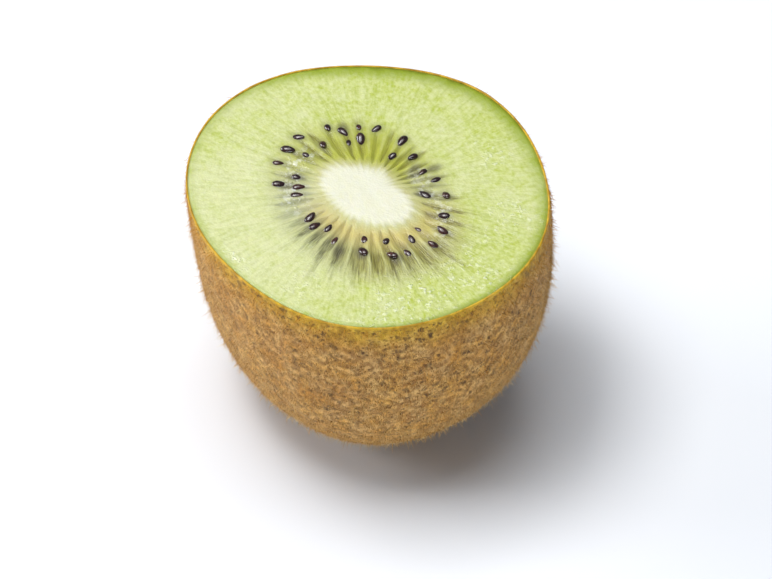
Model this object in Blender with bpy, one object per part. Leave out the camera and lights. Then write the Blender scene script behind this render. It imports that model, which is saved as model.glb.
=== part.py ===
"""Half a kiwi fruit, cut across the middle and standing on its round end.

Units are metres and +Z is up. The origin is the middle of the small flat spot that the half rests on,
+Z runs up the fruit's core to the cut face, and +X runs along the broad axis of its oval girth.
Run it with: blender --background --python part.py
"""

import math
import random

import bmesh
import bpy
from mathutils import Matrix

MM = 0.001

# Driving dimensions of the half
BROAD_WIDTH = 51.0 * MM  # across the cut, along X
NARROW_WIDTH = 47.6 * MM  # across the cut, along Y
HALF_LENGTH = 35.8 * MM  # from the cut to the tip of the round end
BARREL_POWER = 2.8  # 2 would be an ellipsoid, and a higher power is a fuller barrel
# Low swellings of the girth: how many go round, their share of the radius, and a crest's angle in degrees
GIRTH_SWELLINGS = ((3, 0.017, 91.0), (4, 0.007, 25.5), (5, 0.008, 35.0))

# The middle line of the fruit bows a little to one side between the cut and the tip
AXIS_BOW = 0.8 * MM
AXIS_BOW_TURN = math.radians(56.0)  # from +X

# The tip is pressed flat where the fruit stands, and carries the scar of the stalk
FOOT_PRESS = 0.3 * MM  # how much of the tip is lost to the flat spot
SCAR_RING_RADIUS = 2.9 * MM
SCAR_RING_DEPTH = 0.5 * MM

# The pale core, which stands a little proud of the softer flesh round it
CORE_HALF_LENGTH = 8.6 * MM
CORE_HALF_WIDTH = 4.7 * MM
CORE_RISE = 0.3 * MM
CORE_TURN = math.radians(13.0)  # from +X

# The ring of seed chambers, each a shallow boat-shaped dip in the cut face
CHAMBERS = 32
CHAMBER_PLACE = 0.46  # middle of a chamber, as a share of the way from the core axis to the skin
CHAMBER_HALF_LENGTH = 0.10  # the same share
CHAMBER_HALF_WIDTH = 0.55 * MM
CHAMBER_DEPTH = 0.4 * MM
CHAMBER_UNEVENNESS = 0.18  # how much a chamber's size and spacing may differ from these
CHAMBER_SHIFT = 0.02  # how far it may lie nearer to or farther from the core, as a share again
CHAMBER_SEED = 11

# Facets. The odd counts of rings keep a ring of corners off the plane of the cut
GIRTH_FACETS = 96
LENGTH_FACETS = 47
CORE_FACETS = (40, 9)
CHAMBER_FACETS = (12, 7)
SCAR_FACETS = (36, 8)

CUT_HEIGHT = HALF_LENGTH - FOOT_PRESS
TOOL_MARGIN = 10.0 * MM  # how far the straight-sided cutters reach past the fruit

# Colour and roughness of each surface
SKIN = ((0.33, 0.19, 0.055, 1.0), 0.75)
FLESH = ((0.62, 0.72, 0.22, 1.0), 0.3)
CORE = ((0.87, 0.89, 0.70, 1.0), 0.4)


def clear_scene():
    """Remove whatever the file holds."""
    for obj in list(bpy.data.objects):
        bpy.data.objects.remove(obj, do_unlink=True)


def new_collection(name):
    """Add a collection to the scene."""
    collection = bpy.data.collections.new(name)
    bpy.context.scene.collection.children.link(collection)
    return collection


def surface(name, colour, roughness):
    """A Principled material of one colour."""
    material = bpy.data.materials.new(name)
    material.use_nodes = True
    shader = material.node_tree.nodes["Principled BSDF"]
    shader.inputs["Base Color"].default_value = colour
    shader.inputs["Roughness"].default_value = roughness
    shader.inputs["Metallic"].default_value = 0.0
    material.diffuse_color = colour
    return material


def add_object(name, bm, material, collection):
    """Turn a bmesh into an object with one material."""
    mesh = bpy.data.meshes.new(name)
    bm.to_mesh(mesh)
    bm.free()
    mesh.materials.append(material)
    obj = bpy.data.objects.new(name, mesh)
    collection.objects.link(obj)
    return obj


def add_tool(name, bm, material, collection):
    """Turn a bmesh into a shape that only cuts or joins, and isn't part of the fruit."""
    tool = add_object(name, bm, material, collection)
    tool.hide_render = True
    tool.display_type = "WIRE"
    return tool


def girth_radius(angle):
    """From the core axis to the skin at the cut, in the direction of angle."""
    broad = BROAD_WIDTH / 2
    narrow = NARROW_WIDTH / 2
    oval = broad * narrow / math.hypot(narrow * math.cos(angle), broad * math.sin(angle))
    swelling = sum(
        share * math.cos(count * (angle - math.radians(crest)))
        for count, share, crest in GIRTH_SWELLINGS
    )
    return oval * (1 + swelling)


def whole_fruit(material, collection):
    """The uncut fruit: a sphere drawn out to the barrel profile and the oval, swelling girth, and bowed."""
    bm = bmesh.new()
    bmesh.ops.create_uvsphere(bm, u_segments=GIRTH_FACETS, v_segments=LENGTH_FACETS, radius=1.0)
    for vertex in bm.verts:
        x, y, z = vertex.co
        angle = math.atan2(y, x)
        width = girth_radius(angle) * math.hypot(x, y) ** (2 / BARREL_POWER)
        height = HALF_LENGTH * math.copysign(abs(z) ** (2 / BARREL_POWER), z)
        bow = AXIS_BOW * math.sin(math.pi * abs(height) / HALF_LENGTH)
        x = width * math.cos(angle) + bow * math.cos(AXIS_BOW_TURN)
        y = width * math.sin(angle) + bow * math.sin(AXIS_BOW_TURN)
        vertex.co = (x, y, height)
    bm.transform(Matrix.Translation((0, 0, CUT_HEIGHT)))
    fruit = add_object("kiwi_half", bm, material, collection)
    fruit.data.shade_smooth()
    return fruit


def block(low, high):
    """A square block, wide enough to cover the fruit, between two heights."""
    width = BROAD_WIDTH + 2 * TOOL_MARGIN
    place = Matrix.Translation((0, 0, (low + high) / 2))
    bm = bmesh.new()
    bmesh.ops.create_cube(bm, size=1.0, matrix=place @ Matrix.Diagonal((width, width, high - low, 1)))
    return bm


def scar_ring():
    """The groove round the button that the stalk left on the tip."""
    bpy.ops.mesh.primitive_torus_add(
        major_radius=SCAR_RING_RADIUS,
        minor_radius=SCAR_RING_DEPTH,
        major_segments=SCAR_FACETS[0],
        minor_segments=SCAR_FACETS[1],
    )
    torus = bpy.context.object
    bm = bmesh.new()
    bm.from_mesh(torus.data)
    bpy.data.objects.remove(torus, do_unlink=True)
    return bm


def lens(bm, facets, size, turn, centre_x, centre_y):
    """Add a flat ellipsoid of half-sizes size to bm, with its middle on the cut face."""
    place = (
        Matrix.Translation((centre_x, centre_y, CUT_HEIGHT))
        @ Matrix.Rotation(turn, 4, "Z")
        @ Matrix.Diagonal((*size, 1))
    )
    bmesh.ops.create_uvsphere(bm, u_segments=facets[0], v_segments=facets[1], radius=1.0, matrix=place)


def core_swelling():
    """The low rise of the core."""
    bm = bmesh.new()
    lens(bm, CORE_FACETS, (CORE_HALF_LENGTH, CORE_HALF_WIDTH, CORE_RISE), CORE_TURN, 0, 0)
    return bm


def seed_chambers():
    """The dips of all the seed chambers, which run out from the core like spokes."""
    uneven = random.Random(CHAMBER_SEED)

    def about(value):
        return value * (1 + uneven.uniform(-CHAMBER_UNEVENNESS, CHAMBER_UNEVENNESS))

    bm = bmesh.new()
    for number in range(CHAMBERS):
        spacing = math.tau / CHAMBERS
        angle = number * spacing + uneven.uniform(-CHAMBER_UNEVENNESS, CHAMBER_UNEVENNESS) * spacing / 2
        radius = girth_radius(angle)
        out = radius * (CHAMBER_PLACE + uneven.uniform(-CHAMBER_SHIFT, CHAMBER_SHIFT))
        size = (radius * about(CHAMBER_HALF_LENGTH), about(CHAMBER_HALF_WIDTH), about(CHAMBER_DEPTH))
        lens(bm, CHAMBER_FACETS, size, angle, out * math.cos(angle), out * math.sin(angle))
    return bm


def shape_with(fruit, operation, tool):
    """Cut a tool out of the fruit, or join it on. The new faces keep the tool's material."""
    modifier = fruit.modifiers.new(tool.name, "BOOLEAN")
    modifier.operation = operation
    modifier.solver = "EXACT"
    modifier.object = tool
    modifier.material_mode = "TRANSFER"


def main():
    clear_scene()
    kiwi = new_collection("kiwi fruit half")
    tools = new_collection("cutters")
    skin = surface("kiwi skin", *SKIN)
    flesh = surface("kiwi flesh", *FLESH)
    core = surface("kiwi core", *CORE)

    fruit = whole_fruit(skin, kiwi)
    knife = add_tool("knife", block(CUT_HEIGHT, CUT_HEIGHT + HALF_LENGTH + TOOL_MARGIN), flesh, tools)
    table = add_tool("table", block(-TOOL_MARGIN, 0), skin, tools)
    scar = add_tool("stalk_scar", scar_ring(), skin, tools)
    chambers = add_tool("seed_chambers", seed_chambers(), flesh, tools)
    middle = add_tool("core_swelling", core_swelling(), core, tools)

    for tool in (knife, table, scar, chambers):
        shape_with(fruit, "DIFFERENCE", tool)
    shape_with(fruit, "UNION", middle)


main()
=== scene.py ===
# %% [markdown]
# # Half a kiwi fruit
#
# A kiwi fruit cut across the middle has three very different surfaces: a moist, slightly see-through
# face with a cream core and a ring of dark seeds, a thin brown skin, and a coat of short stiff hairs.
# This lesson makes each of them at its true size round a plain solid half, which gives the shape.
# It starts by loading that solid. Everything here is in metres, with Z up along the core of the fruit.

# %% Load the plain half
import math
import random

import bpy
import numpy as np
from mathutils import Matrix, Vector, noise


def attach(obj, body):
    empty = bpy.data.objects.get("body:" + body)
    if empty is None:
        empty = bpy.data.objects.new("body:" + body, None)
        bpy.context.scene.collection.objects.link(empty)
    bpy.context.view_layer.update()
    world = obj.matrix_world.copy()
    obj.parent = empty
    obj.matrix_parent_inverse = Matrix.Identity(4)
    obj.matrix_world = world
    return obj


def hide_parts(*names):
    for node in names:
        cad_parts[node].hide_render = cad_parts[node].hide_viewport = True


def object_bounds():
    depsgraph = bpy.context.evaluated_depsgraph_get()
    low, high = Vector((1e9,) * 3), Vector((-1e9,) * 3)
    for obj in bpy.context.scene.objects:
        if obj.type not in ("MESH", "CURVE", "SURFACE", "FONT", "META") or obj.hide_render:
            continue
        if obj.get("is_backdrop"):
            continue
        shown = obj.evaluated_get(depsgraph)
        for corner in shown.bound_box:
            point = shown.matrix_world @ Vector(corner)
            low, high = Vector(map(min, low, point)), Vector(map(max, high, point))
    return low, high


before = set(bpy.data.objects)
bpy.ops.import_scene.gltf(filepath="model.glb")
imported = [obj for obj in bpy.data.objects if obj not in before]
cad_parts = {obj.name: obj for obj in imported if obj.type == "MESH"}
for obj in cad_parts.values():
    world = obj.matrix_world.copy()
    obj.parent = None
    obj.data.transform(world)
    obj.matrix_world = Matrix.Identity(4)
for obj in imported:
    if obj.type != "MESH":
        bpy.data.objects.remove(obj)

MM = 0.001
NODE = "kiwi_half"
BODY = "root"
plain_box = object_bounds()
print("plain half, mm:", [round(side / MM, 2) for side in plain_box[1] - plain_box[0]])

# %% [markdown]
# ## The outline of the cut
#
# The fruit isn't round: its girth is a little oval, with low swellings. The solid knows that outline, so
# it is read from the solid's own rim. A sum of a few waves round the circle passes through the rim's
# corners and stays smooth between them, which a straight line from corner to corner wouldn't.

# %% Read the girth
GIRTH_WAVES = 8
RIM_TOLERANCE = 0.01 * MM

corners = np.array([vertex.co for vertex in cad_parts[NODE].data.vertices])
corner_radius = np.hypot(corners[:, 0], corners[:, 1])
corner_angle = np.arctan2(corners[:, 1], corners[:, 0])
outermost = corner_radius > 0.9 * corner_radius.max()
CUT_HEIGHT = float(corners[outermost, 2].max())
on_rim = outermost & (corners[:, 2] > CUT_HEIGHT - RIM_TOLERANCE)


def waves(angle):
    """The waves that the girth is a sum of, at each angle."""
    turns = np.arange(1, GIRTH_WAVES + 1) * np.asarray(angle)[..., None]
    return np.concatenate([np.ones_like(turns[..., :1]), np.cos(turns), np.sin(turns)], axis=-1)


girth_sizes = np.linalg.lstsq(waves(corner_angle[on_rim]), corner_radius[on_rim], rcond=None)[0]


def girth(angle):
    """From the core's axis to the outside of the fruit at the cut."""
    return waves(angle) @ girth_sizes


print("cut height, mm:", round(CUT_HEIGHT / MM, 2), "rim corners:", int(on_rim.sum()))

# %% [markdown]
# ## The barrel rule
#
# Below the cut the same outline is drawn in towards the tip. A superellipse says by how much: with a
# power of 2 the fruit would be an ellipsoid, and with a higher one it is a fuller barrel. The rule below
# walks from the cut to the tip in even steps, which a rule by angle wouldn't do. The fruit's middle line
# also bows to one side, as no fruit is quite straight. The printed difference shows that both together
# follow the solid to within a quarter of a millimetre.

# %% The barrel rule
BARREL_POWER = 2.8
FOOT_PRESS = 0.3 * MM  # the tip is pressed flat by this much where the fruit stands
BARREL_LENGTH = CUT_HEIGHT + FOOT_PRESS
AXIS_BOW = 0.8 * MM
AXIS_BOW_TURN = math.radians(56)  # the side that the middle line bows to, from +X


def barrel(down, power=BARREL_POWER):
    """Share of the girth, and share of the length, at a place from 0 at the cut to 1 at the tip."""
    rest = 1 - down
    total = (rest**power + down**power) ** (1 / power)
    return rest / total, down / total


def middle_line(length):
    """Where the fruit's middle line is, in X and Y, at a share of its length."""
    bow = AXIS_BOW * np.sin(math.pi * length)
    return bow * math.cos(AXIS_BOW_TURN), bow * math.sin(AXIS_BOW_TURN)


depth = np.clip((CUT_HEIGHT - corners[:, 2]) / BARREL_LENGTH, 0, 1)
middle_x, middle_y = middle_line(depth)
out_radius = np.hypot(corners[:, 0] - middle_x, corners[:, 1] - middle_y)
out_angle = np.arctan2(corners[:, 1] - middle_y, corners[:, 0] - middle_x)
expected = girth(out_angle) * (1 - depth**BARREL_POWER) ** (1 / BARREL_POWER)
on_side = (corners[:, 2] > 1 * MM) & (depth > 0.02) & (out_radius > 0.5 * out_radius.max())
print("largest difference from the solid, mm:", round(np.abs(expected - out_radius)[on_side].max() / MM, 3))

# %% [markdown]
# ## Camera
#
# The half is seen from above its edge, so that the cut face and the side both show. A long lens from
# well away keeps the barrel's sides from leaning together.

# %% Camera
VIEW_AZIMUTH = math.radians(56)
VIEW_ELEVATION = math.radians(46)
VIEW_DISTANCE = 0.75
FRAME_WIDTH = 104 * MM  # what the frame holds at the fruit
SENSOR_WIDTH = 36.0
LOOK_ASIDE = 2.5 * MM  # the fruit stands a little left of the middle, to leave room for its shadow
LOOK_UP = 0.47 * CUT_HEIGHT

view_right = Vector((math.cos(VIEW_AZIMUTH), math.sin(VIEW_AZIMUTH), 0))
view_away = Vector((-math.sin(VIEW_AZIMUTH), math.cos(VIEW_AZIMUTH), 0))


def from_viewer(right, away, up):
    """A direction given as the viewer sees it."""
    return (right * view_right + away * view_away + Vector((0, 0, up))).normalized()


def aim(obj, target):
    """Turn a camera or a light so that it looks at target."""
    obj.rotation_euler = (Vector(target) - obj.location).to_track_quat("-Z", "Y").to_euler()


def new_object(name, data):
    """An object in the scene."""
    obj = bpy.data.objects.new(name, data)
    bpy.context.scene.collection.objects.link(obj)
    return obj


look_at = LOOK_ASIDE * view_right + Vector((0, 0, LOOK_UP))
camera = new_object("camera", bpy.data.cameras.new("camera"))
camera.location = look_at + VIEW_DISTANCE * from_viewer(
    0, -math.cos(VIEW_ELEVATION), math.sin(VIEW_ELEVATION)
)
aim(camera, look_at)
camera.data.sensor_width = SENSOR_WIDTH
camera.data.lens = SENSOR_WIDTH * VIEW_DISTANCE / FRAME_WIDTH
camera.data.clip_start = 0.05
camera.data.clip_end = 20
bpy.context.scene.camera = camera
print("lens, mm:", round(camera.data.lens))

# %% [markdown]
# ## Helpers for node trees
#
# Geometry Nodes trees and materials are both networks of nodes. What flows out of a node is wrapped here,
# so that sums on it are written as usual and each adds a node. A few short functions add the nodes that
# every tree needs. Each takes plain values or what flows out of earlier nodes.


# %% Sums on what flows out of a node
def sums(operation):
    """What a sign such as + does between a flow and another, or a number."""
    return lambda self, other: calc(operation, self, other)


def turned_sums(operation):
    """The same where the number comes first."""
    return lambda self, other: calc(operation, other, self)


class Flow:
    """What flows out of a node. Where it is a number, sums on it add further nodes."""

    def __init__(self, socket):
        self.socket = socket
        self.tree = socket.id_data

    __add__ = sums("ADD")
    __sub__ = sums("SUBTRACT")
    __mul__ = sums("MULTIPLY")
    __truediv__ = sums("DIVIDE")
    __pow__ = sums("POWER")
    __rsub__ = turned_sums("SUBTRACT")
    __rtruediv__ = turned_sums("DIVIDE")


# %% Adding nodes
def feed(node, inputs):
    """Give a node's sockets, by name or number, a plain value or what flows into them."""
    for key, value in dict(inputs).items():
        if isinstance(value, Flow):
            node.id_data.links.new(value.socket, node.inputs[key])
        else:
            node.inputs[key].default_value = value


def add(tree, kind, inputs=(), **settings):
    """Add a node to a tree."""
    node = tree.nodes.new(kind)
    for name, value in settings.items():
        setattr(node, name, value)
    feed(node, inputs)
    return node


def outputs(tree, kind, inputs=(), **settings):
    """Add a node, and give all that flows out of it, by name."""
    return {socket.name: Flow(socket) for socket in add(tree, kind, inputs, **settings).outputs}


def step(tree, kind, inputs=(), **settings):
    """Add a node, and give what flows out of its first output."""
    return Flow(add(tree, kind, inputs, **settings).outputs[0])


def calc(operation, *values):
    """One step of arithmetic, in the tree that the values come from."""
    tree = next(value.tree for value in values if isinstance(value, Flow))
    return step(tree, "ShaderNodeMath", enumerate(values), operation=operation)


def vector_calc(operation, *values):
    """One step of arithmetic on vectors."""
    return step(values[0].tree, "ShaderNodeVectorMath", enumerate(values), operation=operation)


# %% Nodes that every tree needs
def scaled(vector, factor):
    """A vector made longer or shorter."""
    return step(vector.tree, "ShaderNodeVectorMath", {0: vector, "Scale": factor}, operation="SCALE")


def length_of(vector):
    """How long a vector is."""
    return outputs(vector.tree, "ShaderNodeVectorMath", {0: vector}, operation="LENGTH")["Value"]


def split(vector):
    """The X, Y and Z of a vector."""
    return outputs(vector.tree, "ShaderNodeSeparateXYZ", {0: vector}).values()


def joined(x, y, z):
    """The vector with this X, Y and Z."""
    tree = next(value.tree for value in (x, y, z) if isinstance(value, Flow))
    return step(tree, "ShaderNodeCombineXYZ", {0: x, 1: y, 2: z})


def span(value, low, high, to_low=0.0, to_high=1.0):
    """value eased from to_low, where it is low, to to_high, where it is high."""
    sockets = {"Value": value, "From Min": low, "From Max": high, "To Min": to_low, "To Max": to_high}
    return step(value.tree, "ShaderNodeMapRange", sockets, interpolation_type="SMOOTHSTEP")


def here(tree):
    """Where each corner of the mesh is."""
    return step(tree, "GeometryNodeInputPosition")


def attribute(tree, name, kind="FLOAT"):
    """A value that is stored at each corner of the mesh, in a Geometry Nodes tree."""
    return step(tree, "GeometryNodeInputNamedAttribute", {"Name": name}, data_type=kind)


def store(geometry, name, value):
    """Store a number at each corner under a name, which a material can read too."""
    sockets = {"Geometry": geometry, "Name": name, "Value": value}
    return step(geometry.tree, "GeometryNodeStoreNamedAttribute", sockets, data_type="FLOAT")


def move(geometry, **sockets):
    """Move the corners of a geometry to a Position or by an Offset."""
    return step(geometry.tree, "GeometryNodeSetPosition", {"Geometry": geometry} | sockets)


def smooth(geometry):
    """Shade a geometry without its facets."""
    return step(geometry.tree, "GeometryNodeSetShadeSmooth", {"Geometry": geometry})


def realized(geometry):
    """Turn instances into real mesh."""
    return step(geometry.tree, "GeometryNodeRealizeInstances", {"Geometry": geometry})


# %% Start and end of a tree
def new_geometry_tree(name, sizes):
    """A Geometry Nodes tree with a geometry going in and out, and an input for each named size."""
    tree = bpy.data.node_groups.new(name, "GeometryNodeTree")
    tree.is_modifier = True
    for way in ("INPUT", "OUTPUT"):
        tree.interface.new_socket("Geometry", in_out=way, socket_type="NodeSocketGeometry")
    for label, value in sizes.items():
        kind = "NodeSocketInt" if isinstance(value, int) else "NodeSocketFloat"
        tree.interface.new_socket(label, in_out="INPUT", socket_type=kind)
    return tree, outputs(tree, "NodeGroupInput")


def close_tree(geometry, material):
    """End a tree: real mesh instead of instances, and a material on it."""
    sockets = {"Geometry": realized(geometry), "Material": material}
    add(geometry.tree, "NodeGroupOutput", {0: step(geometry.tree, "GeometryNodeSetMaterial", sockets)})


# %% [markdown]
# ## From a tree to a piece
#
# A tree runs as a modifier on a start mesh. Its sizes are set on the modifier, by each socket's
# identifier, before anything is evaluated. The result is then copied out as a plain mesh, which can be
# exported, and the modifier is taken off again. Other meshes are made from lists of points and faces.


# %% Plain meshes
def new_mesh(name, points, edges=(), faces=()):
    """A plain mesh."""
    mesh = bpy.data.meshes.new(name)
    mesh.from_pydata(points, edges, faces)
    return mesh


def closed_loop(count):
    """The pairs of neighbours on a closed loop of points."""
    return [(i, (i + 1) % count) for i in range(count)]


def keep(mesh, name, values):
    """Store a number or a vector at each corner of a plain mesh."""
    kind, key = ("FLOAT", "value") if values.ndim == 1 else ("FLOAT_VECTOR", "vector")
    data = mesh.attributes.new(name, kind, "POINT").data
    data.foreach_set(key, values.astype(np.float32).ravel())


# %% Grow a piece
def grow(name, tree, sizes, start):
    """Run a tree on the mesh called start, and keep the result as a plain mesh object."""
    piece = new_object(name, start)
    modifier = piece.modifiers.new(tree.name, "NODES")
    modifier.node_group = tree
    for item in tree.interface.items_tree:
        if item.name in sizes:
            modifier[item.identifier] = sizes[item.name]
    graph = bpy.context.evaluated_depsgraph_get()
    grown = bpy.data.meshes.new_from_object(
        piece.evaluated_get(graph), preserve_all_data_layers=True, depsgraph=graph
    )
    piece.modifiers.clear()
    piece.data = grown
    grown.name = name
    triangles = sum(len(face.vertices) - 2 for face in grown.polygons)
    print(name, "has", triangles, "triangles")
    return piece


# %% [markdown]
# ## Helpers for materials
#
# Paint colours are written as they look on a screen and turned into light values here. Two effects turn
# up in most of the finishes, so each is a node group: mottling, which is soft uneven noise, and flecks,
# which are small spots scattered at random. Both read the object's own coordinates in millimetres, so a
# size in them is a size on the fruit. A finish is then built like a painting, in layers.


# %% Colours and layers
def colour(red, green, blue):
    """A colour given as screen values from 0 to 255, as light."""
    light = [
        value / 12.92 if value <= 0.04045 else ((value + 0.055) / 1.055) ** 2.4
        for value in (red / 255, green / 255, blue / 255)
    ]
    return (*light, 1.0)


def mix(factor, first, second):
    """first where factor is 0, second where it is 1. A colour may be given by its screen values."""
    first, second = (colour(*tone) if isinstance(tone, tuple) else tone for tone in (first, second))
    node = add(factor.tree, "ShaderNodeMix", {0: factor, 6: first, 7: second}, data_type="RGBA")
    return Flow(node.outputs[2])


def lay_over(tone, layers):
    """Lay colours over a tone. A layer has a mask, its strength, and its colour."""
    for mask, strength, layer_tone in layers:
        tone = mix(mask * strength, tone, layer_tone)
    return tone


def stored(tree, name, output="Fac"):
    """A value that is stored at each corner of the mesh, in a material."""
    return outputs(tree, "ShaderNodeAttribute", attribute_name=name)[output]


def object_place(tree):
    """The object's own coordinates."""
    return outputs(tree, "ShaderNodeTexCoord")["Object"]


# %% Mottling and flecks
def contrasted(cloud, contrast):
    """Noise spread out about one half, and kept from 0 to 1."""
    sockets = {0: (cloud - 0.5) * contrast, 1: 0.5}
    return step(cloud.tree, "ShaderNodeMath", sockets, operation="ADD", use_clamp=True)


def new_shader_group(name, numbers):
    """A node group that turns the object's coordinates, in millimetres, and some numbers into a mask."""
    tree = bpy.data.node_groups.new(name, "ShaderNodeTree")
    for label, value in numbers.items():
        socket = tree.interface.new_socket(label, in_out="INPUT", socket_type="NodeSocketFloat")
        socket.default_value = value
    tree.interface.new_socket("Mask", in_out="OUTPUT", socket_type="NodeSocketFloat")
    return tree, outputs(tree, "NodeGroupInput"), scaled(object_place(tree), 1 / MM)


def mottle_group():
    """Soft noise from 0 to 1, with patches of a given size, evenly spread about one half."""
    tree, given, place = new_shader_group("Mottle", {"Patch mm": 1.0, "Contrast": 1.0, "Detail": 3.0})
    sockets = {"Vector": place, "Scale": 1.0 / given["Patch mm"], "Detail": given["Detail"]}
    cloud = step(tree, "ShaderNodeTexNoise", sockets)
    add(tree, "NodeGroupOutput", {0: contrasted(cloud, given["Contrast"])})
    return tree


def fleck_group():
    """Small ragged spots of uneven size, up to 1 in the middle of a spot and 0 between them."""
    tree, given, place = new_shader_group("Flecks", {"Spacing mm": 1.0, "Spot": 0.3, "Softness": 0.1})
    scale = 1.0 / given["Spacing mm"]
    ragged = outputs(tree, "ShaderNodeTexNoise", {"Vector": place, "Scale": scale * 2.0})["Color"]
    off = scaled(vector_calc("SUBTRACT", ragged, (0.5, 0.5, 0.5)), given["Spacing mm"] * 1.4)
    sockets = {"Vector": vector_calc("ADD", place, off), "Scale": scale}
    cells = outputs(tree, "ShaderNodeTexVoronoi", sockets)
    draw = outputs(tree, "ShaderNodeSeparateColor", {0: cells["Color"]})
    spot = given["Spot"] * (draw["Red"] + 0.4)
    mask = span(cells["Distance"], spot, spot + given["Softness"], 1.0, 0.0)
    add(tree, "NodeGroupOutput", {0: mask * (draw["Green"] * 0.65 + 0.35)})
    return tree


MOTTLE = mottle_group()
FLECKS = fleck_group()


def mottle(tree, patch, contrast, detail=3.0):
    """Mottling in a material, with patches of this many millimetres."""
    sockets = {"Patch mm": patch, "Contrast": contrast, "Detail": detail}
    return step(tree, "ShaderNodeGroup", sockets, node_tree=MOTTLE)


def flecks(tree, spacing, spot, softness):
    """Flecks in a material, about this many millimetres apart."""
    sockets = {"Spacing mm": spacing, "Spot": spot, "Softness": softness}
    return step(tree, "ShaderNodeGroup", sockets, node_tree=FLECKS)


# %% Bumps and new materials
def bumpy(height, rise, strength=1.0, **sockets):
    """A surface that seems to rise by this many millimetres where height goes from 0 to 1."""
    sockets |= {"Height": height, "Distance": rise * MM, "Strength": strength}
    return step(height.tree, "ShaderNodeBump", sockets)


def new_material(name):
    """An empty Principled material, its nodes and its shader."""
    material = bpy.data.materials.new(name)
    material.use_nodes = True
    return material, material.node_tree, material.node_tree.nodes["Principled BSDF"]


# %% [markdown]
# ## Skin material
#
# Under its hairs the skin is a thin brown rind, mottled and peppered with darker corky specks. Right under
# the cut the wet flesh shines through, so there it turns to a golden olive. The colour follows the height
# below the cut, and the specks and mottling are the two shared groups at different sizes. The specks stop
# at the cut edge, which is clean. A little sheen stands for the down too fine to model.


# %% Skin material
# What the skin and its hairs share: little gloss, and a warm sheen along their outline
DRY_GLOSS = {"Specular IOR Level": 0.3, "Sheen Roughness": 0.4, "Sheen Tint": colour(255, 212, 140)}


def skin_material():
    material, tree, shader = new_material("kiwi skin")
    _, _, height = split(object_place(tree))
    depth = (CUT_HEIGHT - height) / MM
    below_cut = depth + (mottle(tree, 4.0, 1.0) * 3.0 - 1.5)

    brown = mix(mottle(tree, 6.0, 1.8), (188, 124, 38), (228, 174, 84))
    golden = mix(mottle(tree, 1.2, 3.0), (162, 124, 6), (220, 178, 26))
    spotted = span(depth, 0.1, 0.6, 0.0, 0.9)
    tone = lay_over(brown, [
        (mottle(tree, 2.4, 3.6), 0.55, (222, 186, 128)),
        (mottle(tree, 0.8, 4.0, 4.0), 0.75, (120, 72, 18)),
        (span(below_cut, -1.0, 5.5, 0.85, 0.0), 1.0, golden),
        (flecks(tree, 1.3, 0.2, 0.24), spotted, (62, 34, 10)),
        (flecks(tree, 0.6, 0.2, 0.24), spotted, (78, 44, 12)),
    ])
    feed(shader, DRY_GLOSS | {
        "Base Color": tone,
        "Normal": bumpy(mottle(tree, 0.35, 2.0, 4.0), 0.08, 0.7),
        "Roughness": mottle(tree, 1.0, 1.0) * 0.2 + 0.55,
        "Sheen Weight": 0.35,
    })
    return material


SKIN = skin_material()
print("skin material has", len(SKIN.node_tree.nodes), "nodes")

# %% [markdown]
# ## Skin
#
# The skin is a shell under half a millimetre thick. Its shape follows a rule, so Geometry Nodes make it: a
# flat grid is folded over at the rim, with a few rows up the inside of the shell and many down the
# outside. Each column of the grid takes a point of the girth outline, and each row draws that outline in
# by the barrel rule. Noise then lifts the outside into low dents and fine pimples, and the tip is
# pressed flat, with the ring that the stalk left.

# %% Sizes of the skin
SKIN_SIZES = {
    "Steps round": 420,
    "Rows outside": 150,
    "Rows inside": 10,
    "Cut height": CUT_HEIGHT,
    "Barrel length": BARREL_LENGTH,
    "Barrel power": BARREL_POWER,
    "Bow": AXIS_BOW,
    "Bow turn": AXIS_BOW_TURN,
    "Inset": 0.2 * MM,  # room for the hairs, so that the whole coat keeps to the fruit's size
    "Wall": 0.24 * MM,
    "Dent height": 0.22 * MM,
    "Dent width": 7.0 * MM,
    "Pimple height": 0.16 * MM,
    "Pimple width": 0.9 * MM,
    "Scar radius": 2.9 * MM,
    "Scar depth": 0.5 * MM,
}
SEAM_GAP = 0.01 * MM  # corners nearer to each other than this are joined


# %% Folding the grid and shaping the surface
def fold_rows(given, row):
    """How far down the side a row of the grid lies, and 1 if it is inside the shell or 0 if not."""
    last_inside = given["Rows inside"]
    up_inside = (last_inside - row) / last_inside
    down_outside = (row - last_inside - 1.0) / given["Rows outside"]
    inside = calc("LESS_THAN", row, last_inside + 0.5)
    return calc("MAXIMUM", up_inside, down_outside), inside


def lift(geometry, height):
    """Move the surface out along its normal."""
    normal = step(geometry.tree, "GeometryNodeInputNormal")
    return move(geometry, Offset=scaled(normal, height))


def bumps(tree, height, width, detail):
    """Noise of this height and width about zero."""
    sockets = {"Vector": here(tree), "Scale": 1.0 / width, "Detail": detail}
    return (step(tree, "ShaderNodeTexNoise", sockets) - 0.5) * height


def press_foot(geometry, given):
    """Press the tip flat on the table and sink the ring of the stalk scar into it."""
    tree = geometry.tree
    x, y, z = split(here(tree))
    from_ring = calc("ABSOLUTE", length_of(joined(x, y, 0.0)) - given["Scar radius"])
    share = from_ring / given["Scar depth"]
    groove = calc("SQRT", calc("MAXIMUM", 0.0, 1.0 - share * share)) * given["Scar depth"]
    pressed = joined(x, y, calc("MAXIMUM", z, groove))
    sockets = {0: attribute(tree, "outside"), 1: 0.5}
    outside = step(tree, "FunctionNodeCompare", sockets, operation="GREATER_THAN")
    return move(geometry, Selection=outside, Position=pressed)


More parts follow.
